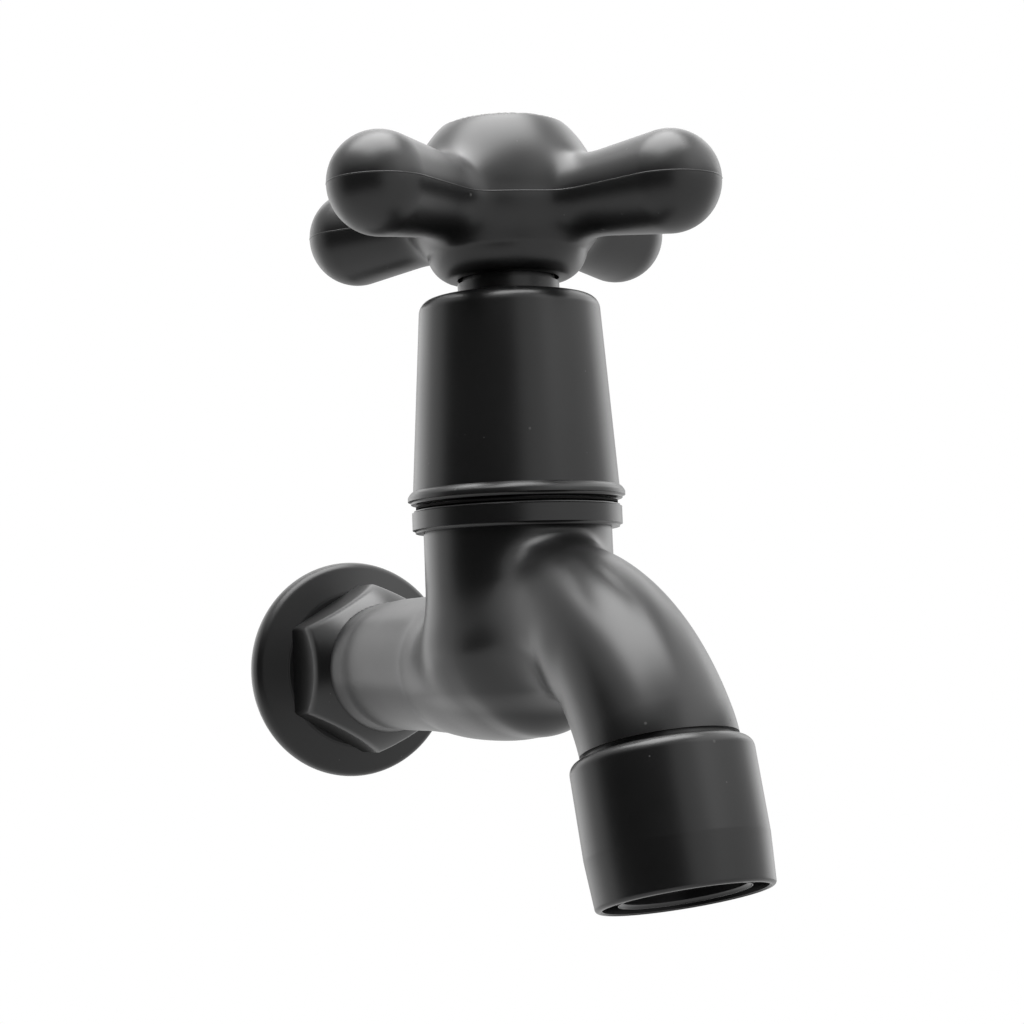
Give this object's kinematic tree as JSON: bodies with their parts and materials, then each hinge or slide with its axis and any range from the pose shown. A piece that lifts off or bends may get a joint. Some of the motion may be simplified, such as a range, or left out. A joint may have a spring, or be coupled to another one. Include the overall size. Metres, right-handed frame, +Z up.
{
  "type": "wall tap",
  "caption": "Wall tap in black plastic: a cross handle lifts a washer off its seat under a tapered cup; a bent spout ends in a screwed nozzle, and a threaded inlet goes through a round flange.",
  "frame": {"origin": "centre of the flange's wall face, on the axis of the inlet thread", "axes": "+Y along the inlet thread into the wall, +Z up along the valve, spout towards -Y"},
  "size_m": [0.0678, 0.1338, 0.1158],
  "materials": {
    "body_plastic": "satin black moulded plastic",
    "flange_plastic": "satin black moulded plastic",
    "cup_plastic": "satin black moulded plastic",
    "handle_plastic": "satin black moulded plastic with a fine parting line",
    "nozzle_plastic": "satin black moulded plastic",
    "insert_plastic": "smooth black moulded plastic",
    "guide_plastic": "smooth black moulded plastic",
    "acetal": "natural white engineering plastic",
    "rubber": "soft black rubber",
    "steel": "plain stainless steel"
  },
  "bodies": {
    "tap": {"tap_body": "body_plastic", "wall_flange": "flange_plastic", "collar_gasket": "rubber", "bonnet_cover": "cup_plastic", "spindle_guide": "guide_plastic", "guide_oring": "rubber", "thrust_washer": "acetal", "nozzle": "nozzle_plastic", "nozzle_gasket": "rubber", "outlet_insert": "insert_plastic", "flow_grid": "insert_plastic"},
    "valve": {"jumper_valve": "acetal", "seat_washer": "rubber", "washer_screw": "steel"},
    "handle_set": {"spindle": "acetal", "spindle_oring_lower": "rubber", "spindle_oring_upper": "rubber", "handle": "handle_plastic", "handle_screw": "steel", "handle_cap": "handle_plastic"}
  },
  "joints": [
    {"name": "valve_lift", "type": "slide", "parent": "tap", "child": "valve", "axis": [0, 0, 1], "range_m": [0, 0.00417]},
    {"name": "handle_turn", "type": "hinge", "parent": "valve", "child": "handle_set", "pos_m": [0, -0.0643, 0], "axis": [0, 0, 1], "range_deg": [0, 600]}
  ],
  "couplings": [
    {"joint": "valve_lift", "follows": "handle_turn", "m_per_rad": 0.00039789}
  ]
}
